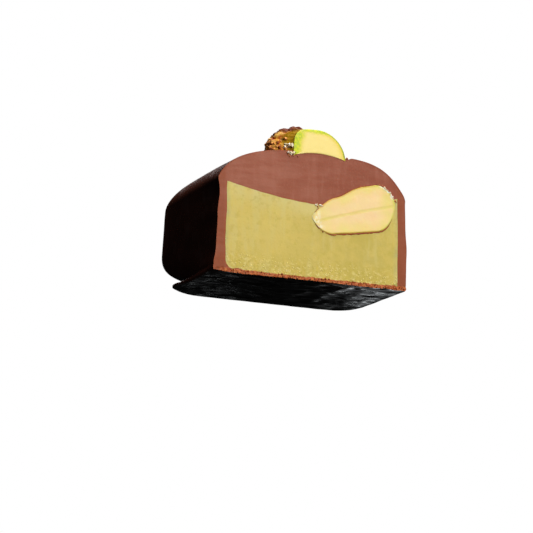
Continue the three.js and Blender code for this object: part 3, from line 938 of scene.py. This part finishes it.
def topping_skin():
    """The half kernel's outside: lime flesh next to the cut, olive flesh with fine ridges further
    back, darker in their grooves as painted shade, and over it a wrinkled skin, tan on the left flank,
    there partly its own colour and partly painted light, red-brown elsewhere, with painted
    highlights on its lumps and painted shade in its hollows and folds."""
    made = Finish("topping_skin", 0.18, (0.04, (1.0, 0.6, 0.3), 0.4 * MM))
    skin, bump, along = made.mark("skin"), made.mark("bump"), made.mark("along")
    flesh = made.blend(made.band(along, 0.0, 0.25), tone(150, 170, 16), tone(178, 134, 36))
    # Painted shade: the olive flesh is darker where its ridges dip.
    flesh = made.blend(made.band(bump, -0.03, 0.02, 0.45, 0.0), flesh, tone(136, 106, 20))
    # The left flank's tan is partly its own colour and partly painted light that the lamps don't throw on
    # that side.
    tan = made.blend(made.band(made.noise(0.8, 3), 0.4, 0.6), tone(172, 74, 14), tone(226, 156, 54))
    # Painted highlight: the flank's lumps are paler on their crests.
    side = made.blend(made.band(bump, 0.0, 0.3, 0.0, 0.8), tan, tone(240, 190, 98))
    # Painted shade and highlight: the red-brown skin is darker in its hollows and lighter on its lumps.
    top = made.blend(made.band(bump, -0.2, 0.25), tone(56, 22, 11), tone(112, 54, 28))
    flaked = made.band(made.noise(1.8, 3), 0.5, 0.66, 0.0, 0.6)
    top = made.blend(flaked, top, tone(140, 84, 34))
    husk = made.blend(made.mark("pale"), top, side)
    # Painted shade: the skin is near black in its hollows.
    husk = made.blend(made.band(bump, -0.34, -0.1, 0.9, 0.0), husk, tone(70, 24, 6))
    made.colour = made.blend(skin, flesh, husk)
    # Painted shade: the deepest folds and pits are darker still.
    made.lay(tone(30, 10, 4), bump, -0.6, -0.26, 0.95, 0.0)
    return made.done((made.noise(0.5, 3), 0.3, 0.7, 0.38, 0.66), (made.noise(0.35, 4), 0.08))


def two_tone(name, dark, light, size):
    """A finish for small bits: each has its own shade between two colours, mottled by noise."""
    made = Finish(name, 0.35)
    share = made.sums("ADD", made.mark("shade"), made.band(made.noise(size, 2), 0.3, 0.7, -0.3, 0.3), True)
    made.colour = made.blend(share, dark, light)
    return made.done((made.noise(size, 2), 0.3, 0.7, 0.45, 0.65), (made.noise(size, 3), 0.03))


# ---- The studio ----

CAMERA = Sizes(azimuth=-25.55, elevation=-12.62, roll=0.5, distance=600, scale=6.17654, picture=533)
TARGET = (0, 9.75, 10.27)  # the point that the camera was fitted to
AIM = (3.065, 5.864)  # and how far left of it and below it the camera looks

# Soft lights: name, bearing and height in degrees, distance and size in millimetres, power and colour.
WHITE = (1, 1, 1)
COOL = (0.92, 0.97, 1.0)
LIGHTS = (
    ("key_light", 16, 26, 500, (250, 250), 2.5, WHITE),
    ("top_light", 50, 77, 450, (220, 220), 2.0, WHITE),
    ("back_light", 172, 52, 500, (260, 260), 1.15, WHITE),
    ("right_light", 100, 30, 500, (200, 200), 0.9, WHITE),
    ("left_light", -105, 16, 450, (40, 200), 0.03, WHITE),
    ("low_light", 143.2, -14, 130, (24, 11), 0.0014, COOL),
    ("low_left_light", 161.5, -17.3, 114, (6, 2.5), 0.00003, COOL),
)
LIT = (0, 8, 10)  # the point that they look at
SURROUND = Sizes(seen=1.0, felt=0.003)  # its brightness to the camera, and to the praline
FLOOR = Sizes(radius=400, drop=0.02, fade_from=120, fade_to=380)


def way_to(bearing, height):
    """The direction of this bearing and height, in degrees. Bearing 0 is straight in front of the
    cut, and 90 is to its right."""
    turn, lift = math.radians(bearing), math.radians(height)
    return Vector((math.sin(turn) * math.cos(lift), -math.cos(turn) * math.cos(lift), math.sin(lift)))


def softbox(name, bearing, height, distance, size, power, colour):
    """A soft oblong light that looks at the praline."""
    way = way_to(bearing, height)
    lamp = bpy.data.lights.new(name, "AREA")
    lamp.energy, lamp.color = power, colour
    lamp.shape, lamp.size, lamp.size_y = "RECTANGLE", size[0] * MM, size[1] * MM
    light = new_object(name, lamp)
    light.location = Vector(to_frame(LIT)) + way * distance * MM
    light.rotation_euler = way.to_track_quat("Z", "Y").to_euler()


def studio():
    """Soft lights, a white surround, and a pale floor that fades into it and is clear from below."""
    for light in LIGHTS:
        softbox(*light)
    world = bpy.data.worlds.new("surround")
    bpy.context.scene.world = world
    world.use_nodes = True
    tree = world.node_tree
    tree.nodes.clear()
    seen, felt = (
        new_node(tree, "ShaderNodeBackground", {"Color": (1, 1, 1, 1), "Strength": strength}).outputs[0]
        for strength in (SURROUND.seen, SURROUND.felt)
    )
    by_camera = new_node(tree, "ShaderNodeLightPath").outputs["Is Camera Ray"]
    both = new_node(tree, "ShaderNodeMixShader", {0: by_camera, 1: felt, 2: seen})
    new_node(tree, "ShaderNodeOutputWorld", {0: both.outputs[0]})
    floor_mesh = bpy.data.meshes.new("floor")
    turn = np.linspace(0, 2 * PI, 97)[:-1]
    rim = stack(FLOOR.radius * np.cos(turn), FLOOR.radius * np.sin(turn), -FLOOR.drop) * MM
    floor_mesh.from_pydata(rim, [], [list(range(len(rim)))])
    floor = new_object("floor", floor_mesh)
    made = Finish("floor_paint", 0.2)
    made.shader.inputs["Roughness"].default_value = 0.7
    cloud = made.blend(made.noise(60, 2), (0.78, 0.77, 0.75, 1), (0.82, 0.81, 0.8, 1))
    made.tree.links.new(cloud, made.shader.inputs["Base Color"])
    clear = made.node("ShaderNodeBsdfTransparent").outputs[0]
    reach = made.node("ShaderNodeVectorMath", {0: made.place}, operation="LENGTH").outputs["Value"]
    below = made.node("ShaderNodeNewGeometry").outputs["Backfacing"]
    share = made.sums("MAXIMUM", below, made.band(reach, FLOOR.fade_from, FLOOR.fade_to))
    cover = made.node("ShaderNodeMixShader", {0: share, 1: made.shader.outputs[0], 2: clear})
    made.tree.links.new(cover.outputs[0], made.tree.nodes["Material Output"].inputs["Surface"])
    floor_mesh.materials.append(made.material)
    floor.visible_shadow = False
    floor.visible_diffuse = False
    floor.visible_glossy = False
    bpy.context.scene.view_settings.view_transform = "Standard"


def camera():
    """The camera: the target in its fitted place, seen from the fitted bearing and height."""
    turn, roll = math.radians(CAMERA.azimuth), math.radians(CAMERA.roll)
    back = way_to(CAMERA.azimuth, CAMERA.elevation)
    level = Vector((math.cos(turn), math.sin(turn), 0))
    upright = back.cross(level)
    right = level * math.cos(roll) + upright * math.sin(roll)
    up = upright * math.cos(roll) - level * math.sin(roll)
    target = Vector(to_frame(TARGET))
    eye = target + back * CAMERA.distance * MM
    aim = target - (right * AIM[0] + up * AIM[1]) * MM
    depth = (eye - aim).normalized()
    side = up.cross(depth).normalized()
    lens = bpy.data.cameras.new("view")
    lens.lens = CAMERA.scale * CAMERA.distance * lens.sensor_width / CAMERA.picture
    lens.clip_start, lens.clip_end = 0.01, 10
    view = new_object("view", lens)
    turned = Matrix((side, depth.cross(side), depth)).transposed().to_4x4()
    view.matrix_world = Matrix.Translation(eye) @ turned
    bpy.context.scene.camera = view


# ---- Making ----

low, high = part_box("coating")
outside = coat_skin()[..., 0]
middle_x = (low.x + high.x) / 2 / MM - (outside.min() + outside.max()) / 2
SHIFT = np.array([middle_x, low.y / MM, 0])

coat_and_filling()
inner_kernel()
topping()
crumbs()
studio()
camera()
